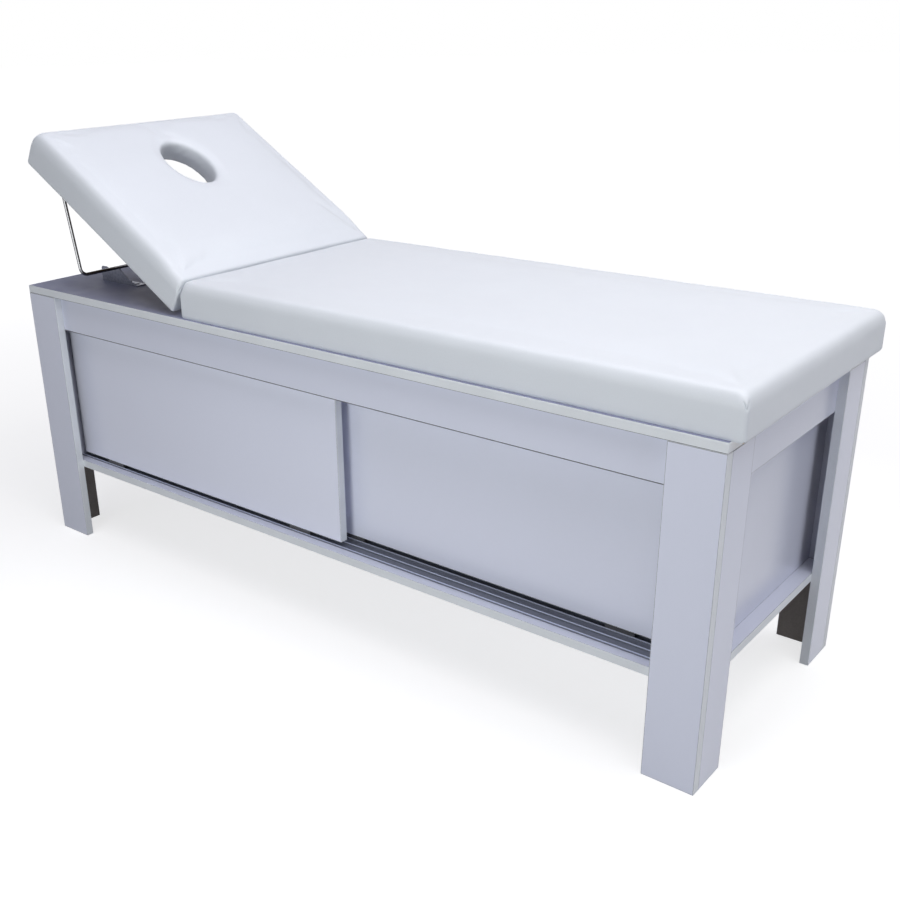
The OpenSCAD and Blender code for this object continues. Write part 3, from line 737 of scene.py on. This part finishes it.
def hinge_pocket(k):
    """The hollow that one of the three hinges sits in, from the front to the back."""
    low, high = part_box("hinge_pins")
    y = (low.y + POCKET_HALF - ROOM, PAD_Y, high.y - POCKET_HALF + ROOM)[k]
    return block_mesh("pocket",
                      (HINGE.x - POCKET_SIDE, y - POCKET_HALF, TOP_Z - POCKET_DOWN),
                      (HINGE.x + POCKET_SIDE, y + POCKET_HALF, HINGE.z + POCKET_UP))


def step(values, low, high):
    """Rises smoothly from 0 at low to 1 at high."""
    t = np.clip((values - low) / (high - low), 0, 1)
    return t * t * (3 - 2 * t)


def make_pad(name, pad, levels, wrap, cavity, voxel, material):
    """The leather of a padded section, over the form that its levels give."""
    cushion = add_object(name, ring_mesh(name, levels, wrap), material)
    guide = add_object("guide", cushion.data.copy())
    remesh(cushion, voxel, guide)
    # Held round the stiff frame, free over the foam
    height = points_of(cushion.data)[:, 2]
    fill(cushion, 1 - step(height, *HOLD_ENDS))
    cushion.modifiers.new("smooth", "SUBSURF").render_levels = 1
    cushion.modifiers[0].levels = 1
    bake(cushion)
    # The stiff part goes back to its crisp form
    wrap_back = cushion.modifiers.new("wrap", "SHRINKWRAP")
    wrap_back.target = guide
    height = points_of(cushion.data)[:, 2]
    wrap_back.vertex_group = add_weights(cushion, "stiff", 1 - step(height, *CRISP_ENDS))
    bake(cushion)
    cushion.vertex_groups.clear()
    bpy.data.objects.remove(guide)
    slacken(cushion)
    corners = [Vector((x, PAD_Y + s * PAD_HALF, PLEAT_Z))
               for x in (pad.x0, pad.x1) for s in (-1, 1)]
    refine(cushion, corners)
    pleat(cushion, corners)
    half = PAD_HALF + WASTE_PAST
    waste = block_mesh("waste", (pad.x0 - WASTE_PAST, PAD_Y - half, pad.under - WASTE_PAST),
                       (pad.x1 + WASTE_PAST, PAD_Y + half, pad.under))
    cut(cushion, cavity, waste, *[hinge_pocket(k) for k in range(3)])
    cushion.data.materials.clear()
    cushion.data.materials.append(material)
    cushion.data.shade_smooth()
    return cushion


def add_bed(materials):
    x0, x1 = HINGE.x + HINGE_GAP, BED_HIGH.x
    pad = Pad(x0, x1, TOP_Z, 0)
    levels = pad.sides()
    levels += pad.crowned([pad.level(i * MM, pad.top, 0, True) for i in BED_TOP_RINGS])
    half = PAD_HALF - COVER_T
    core = block_mesh("core", (x0 + COVER_T, PAD_Y - half, TOP_Z - CUT_PAST),
                      (x1 - COVER_T, PAD_Y + half, PLY_TOP + ROOM))
    bed = make_pad("bed_leather", pad, levels, False, core, BED_VOXEL, materials["leather"])
    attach(bed, "cabinet")
    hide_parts("bed_cover")


def add_rest(materials):
    x0, x1 = HEAD_X, HINGE.x - HINGE_GAP
    pad = Pad(x0, x1, REST_UNDER, 1)
    levels = pad.sides()
    edge, rim = levels[-1], oval(RIM_R, pad.top)
    levels += pad.crowned([[p.lerp(q, t / REST_TOP_STEPS) for p, q in zip(edge, rim)]
                           for t in range(1, REST_TOP_STEPS)])
    lips = []
    for i in range(RIM_RINGS + 1):
        a = math.pi / 2 * i / RIM_RINGS
        lips.append(oval(RIM_R * (1 - math.sin(a)), pad.top - RIM_R * (1 - math.cos(a))))
    levels += pad.crowned(lips)
    low = PLY_UNDER - ROOM
    levels += [[Vector((p.x, p.y, p.z + (low - p.z) * t / HOLE_SIDE_RINGS)) for p in lips[-1]]
               for t in range(1, HOLE_SIDE_RINGS + 1)]
    for p in (p for level in levels for p in level):
        high = min(1.0, max(0.0, (p.z - PLY_TOP) / (pad.top - PLY_TOP)))
        p.z += REST_LIFT * high * float(step(x1 - p.x, 0, LIFT_REACH))
    core_low, core_high = REST_UNDER - CUT_PAST, PLY_TOP + ROOM
    outer = box_rings(x0 + COVER_T, x1 - COVER_T, PAD_HALF - COVER_T, core_low, core_high)
    tube = [oval(COVER_T, core_high), oval(COVER_T, core_low)]
    core = ring_mesh("core", outer + tube, True)
    rest = make_pad("rest_leather", pad, levels, True, core, REST_VOXEL, materials["leather"])
    rest.data.transform(RAISE)
    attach(rest, "headrest")
    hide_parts("rest_cover")
    add_hem(x0 + COVER_T, x1 - COVER_T, materials)


def add_foam(name):
    """The foam block, a little smaller about its middle than the CAD's."""
    block = frame["nodes"][name]
    low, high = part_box(name)
    mid = Matrix.Translation((low + high) / 2)
    mesh = block.data.copy()
    mesh.transform(mid @ Matrix.Scale(FOAM_SHARE, 4) @ mid.inverted() @ block.matrix_world)
    core = add_object(name + "_core", mesh)
    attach(core, block["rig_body"])
    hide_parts(name)


def add_hem(x0, x1, materials):
    """The leather turned in under the headrest's rails, with its staples."""
    half, lie = PAD_HALF - COVER_T, REST_UNDER - HEM_T
    levels = []
    for inset, z in ((HEM_IN, lie), (HEM_W, lie), (HEM_W, REST_UNDER), (HEM_IN, REST_UNDER)):
        levels.append([Vector((p.x, p.y + PAD_Y, z)) for p in plan(
            x0 + inset, x1 - inset, half - inset, (HEM_R, HEM_R), 0)])
    hem = add_object("rest_hem", ring_mesh("rest_hem", levels, True), materials["leather"])
    bm = bmesh.new()
    row = HEM_W - STAPLE_BACK
    spots = [((x0 + x1) / 2 + STAPLE_GAP * i, s * (half - row), 0)
             for i in range(-STAPLES, STAPLES + 1) for s in (-1, 1)]
    spots += [(x, STAPLE_GAP * i, math.pi / 2)
              for i in range(-STAPLES, STAPLES + 1) for x in (x0 + row, x1 - row)]
    for x, y, turn in spots:
        at = (Matrix.Translation((x, y + PAD_Y, lie - STAPLE[2] / 2))
              @ Matrix.Rotation(turn, 4, "Z"))
        made = bmesh.ops.create_cube(
            bm, size=1, matrix=at @ Matrix.Diagonal((*STAPLE, 1)))["verts"]
        bmesh.ops.bevel(bm, geom=list({e for v in made for e in v.link_edges}),
                        offset=STAPLE_EASE, segments=1, affect="EDGES")
    mesh = bpy.data.meshes.new("rest_staples")
    bm.to_mesh(mesh)
    bm.free()
    staples = add_object("rest_staples", mesh, materials["steel"])
    for piece, slot in ((hem, "leather"), (staples, "steel")):
        piece.data.transform(RAISE)
        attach(piece, "headrest")


add_camera()
add_world((0.55, 0.62, 1.0), 0.06)
add_lamp("overhead", (0.3, 0, 3.2), (0.1, 0, 0.6), (4.0, 3.0), 59, (0.93, 0.91, 1.0))
add_lamp("overhead_right", (1.3, 0.0, 2.8), (0.2, 0, 0.6), (2.4, 2.0), 30, (1.0, 1.0, 0.93))
add_lamp("front", (0.4, -2.4, 0.8), (0.2, 0, 0.5), (1.0, 0.8), 17.4, (0.97, 1.0, 0.97))
add_lamp("right", (3.2, -0.5, 0.7), (0.5, 0, 0.5), (1.2, 1.0), 11.8, (0.92, 0.94, 1.0))
add_floor()
materials = make_materials()
dress_nodes(materials)
for board in sorted(n for n in frame["nodes"] if n in BOARDS or "_leg_" in n):
    add_board(board, materials)
add_bed(materials)
add_rest(materials)
add_foam("bed_foam")
add_foam("rest_foam")

bpy.context.scene.view_settings.view_transform = "Standard"
